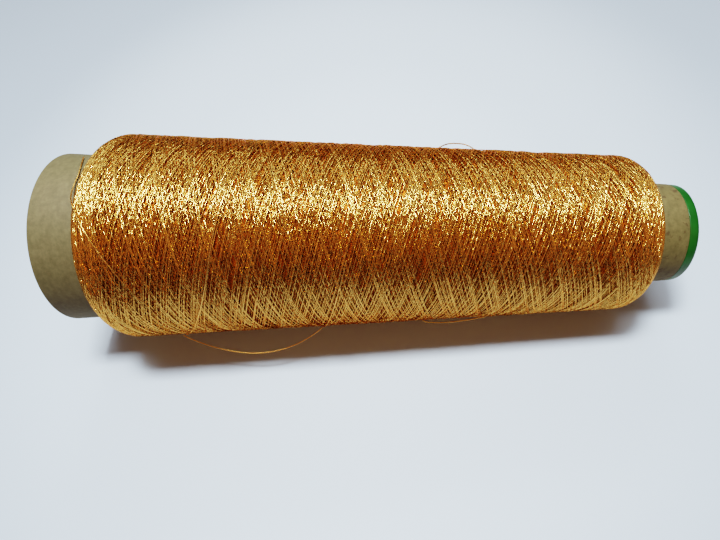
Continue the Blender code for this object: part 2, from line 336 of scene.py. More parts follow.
def paper_material(name, base, nose, fleck):
    """Kraft paper: fine streaks and soft mottling, with flecks that grow towards the nose."""
    material, n, shader = principled(name)
    position = n.coordinates()
    x = n.separate(position)[0]
    fade_length = 0.12          # metres along X from the base colour to the nose colour
    along = n.scaled(x, by=1 / fade_length, plus=0.5, clamp=True)
    colour = n.mix(along, base, nose)
    cloud = n.noise(position, scale=45.0, detail=3.0, rough=0.55)
    colour = n.mottle(colour, cloud, start=0.30, end=0.75,
                      dark=(0.90, 0.93, 0.84), pale=(1.10, 1.07, 1.10))
    # streaks are squeezed along X, so they run round the cone
    squeeze = n.add("ShaderNodeMapping")
    squeeze.inputs["Scale"].default_value = (3.0, 1.0, 1.0)
    n.link(position, squeeze.inputs["Vector"])
    streak = n.noise(squeeze.outputs[0], scale=260.0, detail=4.0, rough=0.65)
    colour = n.mottle(colour, streak, start=0.30, end=0.72,
                      dark=(0.88, 0.88, 0.84), pale=(1.12, 1.11, 1.12))
    fine = n.noise(position, scale=900.0, detail=3.0, rough=0.65)
    colour = n.mottle(colour, fine, start=0.35, end=0.70,
                      dark=(0.80, 0.79, 0.75), pale=(1.08, 1.08, 1.08))
    speck = n.noise(position, scale=620.0, detail=2.0, rough=0.5)
    mask = n.math("MULTIPLY", n.rise(speck, start=0.60, end=0.68),
                  n.scaled(along, by=0.55, plus=0.10))
    n.put(shader, "Base Color", n.mix(mask, colour, fleck))
    n.put(shader, "Roughness", n.scaled(fine, by=0.2, plus=0.62))
    streak_height = 0.8
    height = n.math("ADD", fine, n.math("MULTIPLY", streak, streak_height))
    n.put(shader, "Normal", n.bump(height, strength=0.3, distance=0.00006))
    return material


def board_material(name):
    """Grey chipboard with coarse recycled fibres."""
    material, n, shader = principled(name)
    position = n.coordinates()
    coarse = n.noise(position, scale=800.0, detail=4.0, rough=0.65)
    fine = n.noise(position, scale=2600.0, detail=2.0, rough=0.5)
    n.put(shader, "Base Color", n.ramp(coarse, [
        (0.25, rgba(0.10, 0.085, 0.06)),
        (0.55, rgba(0.18, 0.155, 0.11)),
        (0.8, rgba(0.26, 0.23, 0.17)),
    ]))
    n.put(shader, "Roughness", n.scaled(fine, by=0.15, plus=0.8))
    height = n.math("ADD", coarse, fine)
    n.put(shader, "Normal", n.bump(height, strength=0.5, distance=0.0001))
    return material


def lacquer_material(name, colour, worn):
    """Glossy coloured band: slightly uneven lacquer over paper."""
    material, n, shader = principled(name)
    position = n.coordinates()
    uneven = n.noise(position, scale=260.0, detail=4.0, rough=0.6)
    fine = n.noise(position, scale=1400.0, detail=2.0, rough=0.5)
    n.put(shader, "Base Color", n.mix(n.rise(uneven, start=0.45, end=0.72), colour, worn))
    n.put(shader, "Roughness", n.scaled(uneven, by=0.2, plus=0.32))
    n.put(shader, "Coat Weight", 0.15)
    n.put(shader, "Coat Roughness", 0.15)
    fine_height = 0.4
    height = n.math("ADD", uneven, n.math("MULTIPLY", fine, fine_height))
    n.put(shader, "Normal", n.bump(height, strength=0.25, distance=0.00005))
    return material


GOLD_TOP = gold_material(
    "gold_thread_top", light=rgba(0.90, 0.66, 0.215), deep=rgba(0.79, 0.52, 0.14),
    roughness=0.20)
# painted shade: the middle lay wears a darker copy of the top gold, for the shade under the top
# strands
GOLD_MIDDLE_PAINTED_SHADE = gold_material(
    "gold_thread_middle_painted_shade", light=rgba(0.68, 0.43, 0.105), deep=rgba(0.57, 0.32, 0.065),
    roughness=0.22)
# painted shade: the under lay wears a darker, redder copy of the gold, for deeper shade
GOLD_UNDER_PAINTED_SHADE = gold_material(
    "gold_thread_under_painted_shade", light=rgba(0.62, 0.26, 0.035), deep=rgba(0.48, 0.15, 0.018),
    roughness=0.32, core_share=0.35)
GOLD_LOOSE = gold_material(
    "gold_thread_loose", light=rgba(0.92, 0.64, 0.22), deep=rgba(0.84, 0.52, 0.15),
    roughness=0.28, tilt=0.08, tail=0.15, core_share=0.08)
# painted shade: a darker copy of the loose strand's gold, for the lower and underside loops
GOLD_SLACK_PAINTED_SHADE = gold_material(
    "gold_thread_slack_painted_shade", light=rgba(0.74, 0.47, 0.13), deep=rgba(0.64, 0.36, 0.085),
    roughness=0.36, tilt=0.08, tail=0.15, core_share=0.10)
# painted shade: a much darker copy of the gold, for the backlit upper loop
GOLD_DULL_PAINTED_SHADE = gold_material(
    "gold_thread_dull_painted_shade", light=rgba(0.34, 0.22, 0.095), deep=rgba(0.27, 0.16, 0.06),
    roughness=0.5, tilt=0.08, tail=0.15, core_share=0.10)
# painted shade: the bed is the darkest copy of the gold, for the deep shade in the gaps
GOLD_BED_PAINTED_SHADE = gold_material(
    "gold_thread_bed_painted_shade", light=rgba(0.45, 0.11, 0.010), deep=rgba(0.32, 0.07, 0.006),
    roughness=0.45, core_share=0.4)
PAPER = paper_material(
    "wrap_paper", base=rgba(0.147, 0.133, 0.068), nose=rgba(0.156, 0.134, 0.056),
    fleck=rgba(0.066, 0.036, 0.012))
LINER = paper_material(
    "liner_paper", base=rgba(0.26, 0.22, 0.15), nose=rgba(0.24, 0.20, 0.12),
    fleck=rgba(0.12, 0.08, 0.04))
BOARD = board_material("grey_board")
GREEN = lacquer_material(
    "green_nose_lacquer", colour=rgba(0.006, 0.088, 0.008), worn=rgba(0.010, 0.115, 0.013))


# ---------------------------------------------------------------------------------------
# Mesh helpers
# ---------------------------------------------------------------------------------------
def attach(obj, body="cone", node=None):
    """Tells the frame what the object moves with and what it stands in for."""
    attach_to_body(obj, body)
    if node:
        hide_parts(node)


def make_object(name, points, quads, material, caps=()):
    """A smooth mesh of quads, and of caps with any number of corners."""
    mesh = bpy.data.meshes.new(name)
    loops = np.concatenate([quads.ravel(), *caps])
    totals = np.array([4] * len(quads) + [len(cap) for cap in caps])
    starts = np.concatenate([[0], np.cumsum(totals)[:-1]])
    mesh.vertices.add(len(points))
    mesh.vertices.foreach_set("co", np.asarray(points, np.float32).ravel())
    mesh.loops.add(len(loops))
    mesh.loops.foreach_set("vertex_index", loops.astype(np.int32))
    mesh.polygons.add(len(starts))
    mesh.polygons.foreach_set("loop_start", starts.astype(np.int32))
    mesh.polygons.foreach_set("loop_total", totals.astype(np.int32))
    mesh.update(calc_edges=True)
    mesh.validate()
    mesh.shade_smooth()
    obj = bpy.data.objects.new(name, mesh)
    bpy.context.scene.collection.objects.link(obj)
    obj.data.materials.append(material)
    return obj


def set_thread_attributes(mesh, strand, tone, along):
    """The point attributes that the gold materials read."""
    for name, kind, field, values in (
        ("strand", "FLOAT_VECTOR", "vector", strand),
        ("tone", "FLOAT", "value", tone),
        ("along", "FLOAT_VECTOR", "vector", along),
    ):
        attribute = mesh.attributes.new(name, kind, "POINT")
        attribute.data.foreach_set(field, np.asarray(values, np.float32).ravel())


def tube(line, out, radius, sides, tone, offset=0.0):
    """Parts of one thread: line is n x 3 in metres, out a rough outward direction at each
    point, radius in mm, offset the length in mm at which its pattern starts."""
    count = len(line)
    tangent = np.gradient(line, axis=0)
    tangent /= np.linalg.norm(tangent, axis=1)[:, None]
    normal = out - tangent * (out * tangent).sum(1)[:, None]
    normal /= np.linalg.norm(normal, axis=1)[:, None]
    side = np.cross(tangent, normal)
    steps = np.linalg.norm(np.diff(line, axis=0), axis=1) * 1000
    length = np.concatenate([[0], np.cumsum(steps)]) + offset
    angle = 2 * math.pi * np.arange(sides) / sides
    cosine, sine = np.cos(angle), np.sin(angle)
    ring = cosine[None, :, None] * normal[:, None, :] + sine[None, :, None] * side[:, None, :]
    points = line[:, None, :] + radius * MM * ring
    strand = np.stack([
        np.repeat(length[:, None], sides, 1),
        np.broadcast_to(cosine, (count, sides)),
        np.broadcast_to(sine, (count, sides)),
    ], -1)
    i = np.arange(count - 1)[:, None] * sides
    k = np.arange(sides)[None, :]
    k_next = (k + 1) % sides
    quads = np.stack([i + k, i + k_next, i + sides + k_next, i + sides + k], -1)
    along = np.repeat(tangent[:, None, :], sides, 1)
    last = (count - 1) * sides
    caps = [list(range(sides))[::-1], list(range(last, last + sides))]
    return (points.reshape(-1, 3), quads.reshape(-1, 4), strand.reshape(-1, 3),
            np.full(count * sides, tone), along.reshape(-1, 3), caps)


def join_tubes(name, tubes, material):
    points, quads, strands, tones, alongs, cap_pairs = zip(*tubes)
    firsts = np.cumsum([0] + [len(part) for part in points[:-1]])
    quads = np.concatenate([part + first for part, first in zip(quads, firsts)])
    caps = [
        [corner + first for corner in cap]
        for pair, first in zip(cap_pairs, firsts)
        for cap in pair
    ]
    obj = make_object(name, np.concatenate(points), quads, material, caps)
    set_thread_attributes(
        obj.data, np.concatenate(strands), np.concatenate(tones), np.concatenate(alongs))
    return obj


def turned(name, profile, segments, material, wobble=0.0, seed=0):
    """Revolves a closed profile of (s, r); wobble makes it slightly out of round."""
    profile = np.array(profile, float)
    phi = 2 * math.pi * np.arange(segments) / segments
    r = profile[:, 1][None, :] * np.ones((segments, 1))
    if wobble:
        g = np.random.default_rng(seed)
        wave = sum(
            g.normal() / k * np.cos(k * phi + g.uniform(0, ANY_PHASE)) for k in range(2, 7))
        r = r + wobble * wave[:, None]
    points = place(profile[:, 0][None, :], r, phi[:, None]).reshape(-1, 3)
    count = len(profile)
    k = np.arange(segments)[:, None]
    i = np.arange(count)[None, :]
    k_next, i_next = (k + 1) % segments, (i + 1) % count
    quads = np.stack([
        k * count + i,
        k_next * count + i,
        k_next * count + i_next,
        k * count + i_next,
    ], -1).reshape(-1, 4)
    # the faces are turned outwards by the sign of the volume
    corners = points[quads] - points.mean(0)
    volume = sum(
        np.einsum("ij,ij->i", corners[:, 0], np.cross(corners[:, a], corners[:, b])).sum()
        for a, b in ((1, 2), (2, 3))
    )
    if volume < 0:
        quads = quads[:, ::-1]
    return make_object(name, points, quads, material)


def rounded(points, radius, steps):
    """Rounds the corners of a closed (s, r) polygon, with steps + 1 points to a corner."""
    result = []
    for i in range(len(points)):
        corner, before, after = (
            np.array(points[j % len(points)], float) for j in (i, i - 1, i + 1))
        back, onward = before - corner, after - corner
        back_length, onward_length = np.linalg.norm(back), np.linalg.norm(onward)
        cut = min(radius, 0.45 * back_length, 0.45 * onward_length)
        start = corner + back / back_length * cut
        end = corner + onward / onward_length * cut
        for k in range(steps + 1):
            t = k / steps
            result.append(tuple((1 - t) ** 2 * start + 2 * t * (1 - t) * corner + t * t * end))
    return result


def rest_clear(s, r, phi, half):
    """Keeps a strand's centre above the table: the lowest turns are pressed together."""
    z = ORIGIN[2] + s * AXIS[2] + r * np.cos(phi) * TOP[2]
    lift = np.clip(half + TABLE_GAP - z, 0, None)
    return np.where(lift > 0, r - lift / np.maximum(-np.cos(phi), 0.2), r)


# ---------------------------------------------------------------------------------------
# Paper cone. Depths are measured in from the outside of the paper.
# ---------------------------------------------------------------------------------------
CONE_SEGMENTS = 160
PLY_CORNER_R, PLY_CORNER_STEPS = 0.08, 3

# The board ends in a half-round lip, and the nose band wraps over it.
LIP_TIP_S, LIP_R = 169.4, 0.475
LIP_DEPTH = 0.60 + LIP_R                      # of the lip's centre
LIP_CENTRE_S = LIP_TIP_S - LIP_R
LIP_CENTRE_R = float(paper_r(LIP_TIP_S)) - LIP_DEPTH
BAND_INSIDE_R, BAND_OUTSIDE_R = 0.56, 1.06    # of the band, about the lip's centre


def at_depth(s, depth):
    return (s, float(paper_r(s)) - depth)


def lip_arc(radius, start, end, count):
    """Points about the lip's centre; the angle runs from outside to inside the cone."""
    return [
        (LIP_CENTRE_S + radius * math.sin(a), LIP_CENTRE_R + radius * math.cos(a))
        for a in np.linspace(start, end, count)
    ]


def ply(name, outside, inside, end, material, node, seed):
    """One ply of paper between two depths, from the base rim to end."""
    stations = np.linspace(0.0, end, 24)
    outer = [at_depth(s, outside) for s in stations]
    inner = [at_depth(s, inside) for s in stations[::-1]]
    corners = rounded([outer[-1], inner[0], inner[-1], outer[0]], PLY_CORNER_R, PLY_CORNER_STEPS)
    half = len(corners) // 2    # the first half lies at the nose, the rest at the base
    profile = outer[1:-1] + corners[:half] + inner[1:-1] + corners[half:]
    obj = turned(name, profile, CONE_SEGMENTS, material, wobble=0.025, seed=seed)
    attach(obj, node=node)


def board_core():
    stations = np.linspace(0.12, 160, 12)
    profile = [at_depth(s, 0.58) for s in stations]
    profile += lip_arc(LIP_R, 0, math.pi, 9)
    profile += [at_depth(s, 1.66) for s in stations[::-1]]
    obj = turned("board_core", profile, CONE_SEGMENTS, BOARD, wobble=0.02, seed=4)
    attach(obj, node="cone_core_ply")


def nose_band():
    inside_end = LIP_CENTRE_S - 0.9
    inside_r = LIP_CENTRE_R - BAND_OUTSIDE_R
    profile = [
        at_depth(s, 0.02) for s in np.linspace(NOSE_BAND_START + 0.1, LIP_CENTRE_S - 0.25, 5)]
    profile += lip_arc(BAND_OUTSIDE_R, 0, math.pi, 17)
    # the end of the band inside the cone
    profile += [
        (inside_end, inside_r),
        (inside_end - 0.08, inside_r + 0.15),
        (inside_end, LIP_CENTRE_R - BAND_INSIDE_R),
    ]
    profile += lip_arc(BAND_INSIDE_R, math.pi, 0, 9)
    # its edge outside: distance along from the start of the band, depth at that start
    start_r = float(paper_r(NOSE_BAND_START))
    profile += [
        (NOSE_BAND_START + along, start_r - depth)
        for along, depth in ((0.06, 0.42), (0.0, 0.2), (0.03, 0.05))
    ]
    obj = turned("nose_band", profile, CONE_SEGMENTS, GREEN, wobble=0.015, seed=6)
    attach(obj, node="nose_color_band")


ply("paper_outer_wrap", outside=0.0, inside=0.52, end=NOSE_BAND_START - 0.06,
    material=PAPER, node="cone_outer_ply", seed=3)
ply("paper_inner_liner", outside=1.72, inside=2.15, end=NOSE_BAND_START - 0.4,
    material=LINER, node="cone_inner_ply", seed=5)
board_core()
nose_band()

# ---------------------------------------------------------------------------------------
# Thread package: a bed painted dark for the shade between strands, under crossing lays of real
# strands
# ---------------------------------------------------------------------------------------
BED_DEPTH = 1.0                 # below the surface of the package
BED_FOOT_GAP = 0.06             # between the bed's underside and the paper


def bed_profile():
    """The package surface pushed in by BED_DEPTH along its own normal, closed underneath."""
    quarter = np.linspace(0, math.pi / 2, 14)
    s = np.concatenate([
        PACKAGE_START + BASE_SHOULDER * (1 - np.cos(quarter)),
        np.linspace(STRAIGHT_START, STRAIGHT_END, 30)[1:-1],
        STRAIGHT_END + NOSE_SHOULDER * np.sin(quarter),
    ])
    r = package_r(s)
    ds, dr = np.gradient(s), np.gradient(r)
    length = np.hypot(ds, dr)
    s, r = s + BED_DEPTH * dr / length, r - BED_DEPTH * ds / length
    keep = r > paper_r(s) + 0.12
    s, r = s[keep], r[keep]
    underside = [(end, float(paper_r(end)) + BED_FOOT_GAP) for end in (s[-1], s[0])]
    return list(zip(s, r)) + underside


def package_bed():
    # painted shade: the bed is coloured dark red for the shade in the gaps between strands
    bed = turned("package_bed", bed_profile(), 240, GOLD_BED_PAINTED_SHADE)
    points = np.zeros(len(bed.data.vertices) * 3)
    bed.data.vertices.foreach_get("co", points)
    from_origin = points.reshape(-1, 3) / MM - ORIGIN
    forward, up = from_origin @ FRONT, from_origin @ TOP
    s, r, phi = from_origin @ AXIS, np.hypot(forward, up), np.arctan2(forward, up)
    # a crossed ripple on the skin: height and two wavelengths in mm, two counts round
    ripple = (0.10 * np.sin(s * 2 * math.pi / 3.1 + 5 * phi)
              * np.sin(s * 2 * math.pi / 2.3 - 7 * phi))
    skin = r > paper_r(s) + 0.5
    r = np.where(skin, rest_clear(s, r + ripple, phi, 0.6), r)
    bed.data.vertices.foreach_set("co", place(s, r, phi).astype(np.float32).ravel())
    strand_rate = 19            # radians round a mock strand for each mm along the axis
    set_thread_attributes(
        bed.data,
        strand=np.stack([phi * r, np.cos(s * strand_rate), np.sin(s * strand_rate)], -1),
        tone=np.full(len(r), 0.3),
        along=np.cross(np.broadcast_to(AXIS, (len(phi), 3)), radial(phi)),
    )
    bed.data.update()
    attach(bed, node="thread_outer_lays")


ADVANCE = 7.3                   # along the axis, mm per radian of wrap
TURN_PHI = 0.62                 # radians over which a traverse slows and turns back
MEAN_R = 25.5                   # radius by which a traverse is cut into steps


def waver(g, angle, slowest, fastest):
    """A sine of random rate and phase."""
    return np.sin(angle * g.uniform(slowest, fastest) + g.uniform(0, ANY_PHASE))


def from_end(base_side, distance):
    """Station at a distance in from one end of the package."""
    return PACKAGE_START + distance if base_side else PACKAGE_END - distance


def sink(s, depth, half_step=0.05, steepest=6):
    """Pushes in along the surface normal, so that shoulders keep their shape."""
    slope = (package_r(s + half_step) - package_r(s - half_step)) / (2 * half_step)
    slope = np.clip(slope, -steepest, steepest)
    length = np.sqrt(1 + slope**2)
    return s + depth * slope / length, package_r(s) - depth / length


def wound_tube(g, s, r, phi, radius, sides, tones):
    """One wound strand, kept off the paper and the table."""
    r = np.maximum(r, paper_r(s) + radius + PAPER_GAP)
    r = rest_clear(s, r, phi, radius)
    tone = g.uniform(*tones)
    offset = g.uniform(0, ANY_OFFSET)
    return tube(place(s, r, phi), radial(phi), radius, sides, tone, offset)


def traverse(low, high, phi_start, direction, step):
    """Stations and angles of one traverse, with rounded turns at both ends."""
    span = high - low
    turn_span = ADVANCE * TURN_PHI / 2
    total = TURN_PHI * 2 + (span - 2 * turn_span) / ADVANCE
    phi = np.linspace(0, total, int(total * MEAN_R / step))
    curve = ADVANCE / (2 * TURN_PHI)
    s = np.where(
        phi < TURN_PHI,
        curve * phi**2,
        np.where(
            phi > total - TURN_PHI,
            span - curve * (total - phi) ** 2,
            turn_span + ADVANCE * (phi - TURN_PHI),
        ),
    )
    return low + s, phi_start + direction * phi


def lay(name, count, depths, step, sides, material, tones, seed, radius=WOUND_R, chunk=44):
    """count double traverses spread evenly round the package, chunk strands to an object.
    depths and step are in mm."""
    g = np.random.default_rng(seed)
    g.uniform(0, 2 * math.pi)   # unused, but it sets where the later draws start
    spacing = 2 * math.pi / count
    tubes = []
    for i in range(count):
        for back in (False, True):
            # the ends stop at varied distances in from the ends of the package
            low = from_end(True, 0.35 + 7.2 * g.uniform() ** 1.6)
            high = from_end(False, 0.35 + 7.6 * g.uniform() ** 1.6)
            start = spacing * (i + 0.5 * back) + g.normal() * 0.09 * spacing + 1.3 * back
            s, phi = traverse(low, high, start, -1 if back else 1, step)
            depth = radius + 0.08 + g.uniform(*depths)
            depth = depth + 0.8 * (0.05 * waver(g, phi, 1.5, 3.5) + 0.03 * waver(g, phi, 6, 11))
            wander = 0.06 * waver(g, phi, 0.5, 1.4) + 0.025 * waver(g, phi, 3, 5)
            # the wander fades out over the last 3 mm at each end
            s = s + wander * np.clip(np.minimum(s - PACKAGE_START, PACKAGE_END - s) / 3.0, 0, 1)
            sunk_s, r = sink(s, depth)
            tubes.append(wound_tube(g, sunk_s, r, phi, radius, sides, tones))
    made = [
        join_tubes(f"{name}_{number:02d}", tubes[first:first + chunk], material)
        for number, first in enumerate(range(0, len(tubes), chunk), 1)
    ]
    for obj in made:
        attach(obj)


def shoulder_arcs(name, base_side, seed, count=150, deepest=0.55, step=1.3):
    """The turning points of the traverses, which build the rounded shoulders."""
    g = np.random.default_rng(seed)
    tubes = []
    for i in range(count):
        turn = 0.3 + (7.8 * g.uniform() ** 1.6 - 0.25)
        half = g.uniform(1.6, 3.0)                       # half the arc, radians
        middle = 2 * math.pi * (i + g.uniform()) / count * 7
        u = np.linspace(-half, half, int(2 * half * 25 / step))
        bend = g.uniform(0.35, 0.9)
        # a hyperbola: level at the turn, straight away from it
        s = from_end(base_side, turn + bend * (np.sqrt(u * u + 0.35) - 0.59))
        depth = WOUND_R + 0.09 + g.uniform(0, deepest) + 0.05 * waver(g, u, 2, 5)
        # both ends dive under the other strands over half a radian
        dive = np.clip((np.abs(u) - half + 0.5) / 0.5, 0, 1)
        sunk_s, r = sink(s, depth + 0.9 * dive**2)
        tubes.append(wound_tube(g, sunk_s, r, middle + u, WOUND_R, 5, (0.2, 0.9)))
    attach(join_tubes(name, tubes, GOLD_TOP))


def foot_turns(name, base_side, seed, count=18):
    """Turns that lie level round each end of the package and close its foot."""
    g = np.random.default_rng(seed)
    tubes = []
    for i in range(count):
        inset = WOUND_R + 0.02 + 2.6 * (i / (count - 1)) ** 1.3
        phi = np.linspace(0, 2 * math.pi, 190) + g.uniform(0, ANY_PHASE)
        sway = np.sin(phi * 2 + g.uniform(0, ANY_PHASE))
        sway = sway + 0.4 * np.sin(phi * 5 + g.uniform(0, ANY_PHASE))
        s = from_end(base_side, inset + min(inset * 0.4, 0.3) * sway / 1.4)
        depth = WOUND_R + 0.01 + g.uniform(0, 0.10)
        sunk_s, r = sink(s, depth, half_step=0.03, steepest=8)
        sunk_s = np.clip(sunk_s, PACKAGE_START + WOUND_R, PACKAGE_END - WOUND_R)
        tubes.append(wound_tube(g, sunk_s, r, phi, WOUND_R, 5, (0.3, 0.9)))
    attach(join_tubes(name, tubes, GOLD_TOP))


package_bed()
lay("thread_lay_a", count=94, depths=(0.0, 0.22), step=1.25, sides=5,
    material=GOLD_TOP, tones=(0.2, 1.0), seed=11, chunk=32)
# painted shade: the middle lay wears darker gold than the top lay
lay("thread_lay_b", count=66, depths=(0.24, 0.50), step=2.0, sides=4,
    material=GOLD_MIDDLE_PAINTED_SHADE, tones=(0.0, 1.0), seed=12)
# painted shade: the under lay wears darker, redder gold still
lay("thread_lay_c", count=44, depths=(0.48, 0.76), step=2.6, sides=3,
    material=GOLD_UNDER_PAINTED_SHADE, tones=(0.0, 1.0), seed=13, radius=0.14)
shoulder_arcs("base_shoulder_turns", base_side=True, seed=21)
shoulder_arcs("nose_shoulder_turns", base_side=False, seed=22)
foot_turns("base_foot_turns", base_side=True, seed=41)
foot_turns("nose_foot_turns", base_side=False, seed=42)

# ---------------------------------------------------------------------------------------
# Loose strands, on the same paths as their CAD solids
# ---------------------------------------------------------------------------------------
LOOSE_SIDES = 10


def edge_turns():
    """Turns on the bare paper, just outside the package's base end."""
    turns = 1.7
    u = np.linspace(0, turns, 420)
    s = PACKAGE_START - 0.26 + 0.14 * u / turns + 0.03 * np.sin(u * 11.0)
    phi = np.radians(-70.0) + 2 * math.pi * u
    r = paper_r(s) + PAPER_GAP + THREAD_R + 0.08 * np.clip(np.sin(u * 9.0), 0, 1)
    strand = tube(place(s, r, phi), radial(phi), LOOSE_R, LOOSE_SIDES, tone=0.7)
    attach(join_tubes("edge_turns", [strand], GOLD_LOOSE),
           node="base_edge_turns")


# Free end: angles in degrees, lengths in mm
RUN_FROM_PHI, RUN_TO_PHI = -27.0, 71.0
RUN_PAPER_S = 10.02                                  # where it lies on the bare paper
CLIMB_PHI, CLIMB_SOFTNESS = 15.0, 4.0                # where it starts up the package
CLIMB_RATE, CLIMB_POWER = 0.62, 0.84
TIP_PHI, TIP_OUT = -3.0, 2.6                         # its tip drifts towards the base rim


def run_s(phi):
    climb = CLIMB_SOFTNESS * np.log1p(np.exp((phi - CLIMB_PHI) / CLIMB_SOFTNESS))
    return RUN_PAPER_S + CLIMB_RATE * climb**CLIMB_POWER


def clear_r(s):
    """Least radius that keeps a strand REST_HEIGHT away from paper and package."""
    best = paper_r(s) + REST_HEIGHT
    for k in range(-12, 13):
        d = REST_HEIGHT * k / 12
        height = math.sqrt(max(REST_HEIGHT * REST_HEIGHT - d * d, 0.0))
        best = np.maximum(best, package_r(s + d) + height)
    return best


def free_end():
    """Leaves the paper close to the foot of the package and climbs its base shoulder."""
    degrees = np.linspace(RUN_FROM_PHI, RUN_TO_PHI, 360)
    to_tip = np.clip((TIP_PHI - degrees) / (TIP_PHI - RUN_FROM_PHI), 0, 1)
    s = run_s(degrees) - TIP_OUT * to_tip**1.4
    clear = clear_r(s)
    # pulled taut: hollows are bridged
    taut = clear.copy()
    for _ in range(700):
        taut[1:-1] = np.maximum(clear[1:-1], (taut[:-2] + taut[2:]) / 2)
    phi = np.radians(degrees)
    strand = tube(place(s, taut, phi), radial(phi), LOOSE_R, LOOSE_SIDES, tone=0.8)
    attach(join_tubes("free_end_strand", [strand], GOLD_LOOSE),
           body="free_end", node="running_end")


def slack(name, node, body, start, end, sag, tip, skew, wave, seed, material, tuck,
          radius=LOOSE_R, spread=0.07):
    """A strand bowed off the package between two points (s, phi in degrees).

    sag is the height of the bow and wave the size of its wobble, tip turns it sideways in
    degrees and skew shifts its peak. The ends dip by tuck over the share spread of it."""
    a, b = (
        place(s, package_r(s) + REST_HEIGHT, math.radians(phi)) / MM for s, phi in (start, end))
    chord = (b - a) / np.linalg.norm(b - a)
    normal = radial(np.array(math.radians((start[1] + end[1]) / 2)))
    normal = normal - chord * (normal @ chord)
    normal /= np.linalg.norm(normal)
    across = np.cross(chord, normal)
    out = normal * math.cos(math.radians(tip)) + across * math.sin(math.radians(tip))
    t = np.linspace(0, 1, 240)
    skewed = t + skew * t * (1 - t)
    bow = sag * (4 * skewed * (1 - skewed))
    g = np.random.default_rng(seed)
    wobble = np.sin(t * 9 + g.uniform(0, 6)) + 0.5 * np.sin(t * 17 + g.uniform(0, 6))
    wobble = wave * np.sin(math.pi * t) * wobble
    # both ends dive between the wound strands
    dip = tuck * (np.clip(1 - t / spread, 0, 1) ** 2 + np.clip(1 - (1 - t) / spread, 0, 1) ** 2)
    line = a + (b - a) * t[:, None] + out * bow[:, None]
    line = (line - normal * dip[:, None] + across * wobble[:, None]) * MM
    outward = np.broadcast_to(out, line.shape)
    strand = tube(line, outward, radius, LOOSE_SIDES, tone=0.85)
    attach(join_tubes(name, [strand], material), body=body, node=node)


def surface_strand(s, phi, rise_from, rise, buried, duck_from, duck, tone):
    """A strand on the package: it rises from under the surface over half a radian, and
    ducks under again over the last tenth."""
    over = np.clip((phi - rise_from) / 0.5, 0, 1)
    under = duck * np.clip((phi - duck_from) / 0.10, 0, 1) ** 1.5
    r = package_r(s) + rise * over - buried * (1 - over) - under
    return tube(place(s, r, phi), radial(phi), LOOSE_R, LOOSE_SIDES, tone)


def lower_loop_lead():
    """The strand that leads down the package to the lower loop, and on from its far end."""
    lead_from, tail_from, tail_to = 0.20, 2.10, 0.9
    phi = np.linspace(lead_from, 2.06, 330)
    s = 48.2 - 6.4 * (phi - 0.55) - 5.2 * np.clip(phi - 0.9, 0, None) ** 2
    lead = surface_strand(s, phi, rise_from=lead_from, rise=0.18, buried=0.25,
                          duck_from=1.94, duck=0.32, tone=0.9)
    phi = np.linspace(tail_from, tail_to, 240)
    s = 70.9 + 6.7 * (tail_from - phi)
    tail = surface_strand(s, phi, rise_from=tail_to, rise=0.12, buried=0.3,
                          duck_from=2.0, duck=0.26, tone=0.8)
    attach(join_tubes("lower_loop_lead", [lead, tail], GOLD_LOOSE))


edge_turns()
free_end()
# painted shade: the loops wear darker copies of the loose strand's gold
slack("slack_lower", node="lower_loop", body="low_loop", start=(30.8, 119.0), end=(70.8, 121.0),
      sag=6.5, tip=14.0, skew=-0.16, wave=0.10, seed=31, material=GOLD_SLACK_PAINTED_SHADE, tuck=0.15,
      radius=THREAD_R * 0.85)
# painted shade: the upper loop's gold is darker still
slack("slack_upper", node="upper_loop", body="top_loop", start=(103.9, -47.0),
      end=(113.2, -39.0), sag=0.8, tip=0.0, skew=0.0, wave=0.03, seed=32, material=GOLD_DULL_PAINTED_SHADE,
      tuck=0.65, spread=0.32)
slack("slack_under", node="underside_loop", body="under_loop", start=(99.5, 123.0),
      end=(116.5, 105.0), sag=0.8, tip=0.0, skew=0.3, wave=0.03, seed=33, material=GOLD_SLACK_PAINTED_SHADE,
      tuck=0.5)
lower_loop_lead()

# The hidden pieces keep their CAD shapes and get the under lay's gold, which is darkened as
# painted shade.
for hidden in ("thread_inner_lays", "starting_turns"):
    frame["nodes"][hidden].data.materials.clear()
    frame["nodes"][hidden].data.materials.append(GOLD_UNDER_PAINTED_SHADE)

# ---------------------------------------------------------------------------------------
# Floor, in metres
# ---------------------------------------------------------------------------------------
scene = bpy.context.scene
BACKDROP = rgba(0.80, 0.90, 0.98)
FLOOR_Z = -0.00008
FLOOR_REACH = 3.0
TABLE_EDGE = -0.12              # the thread mirrors the table only as far as this


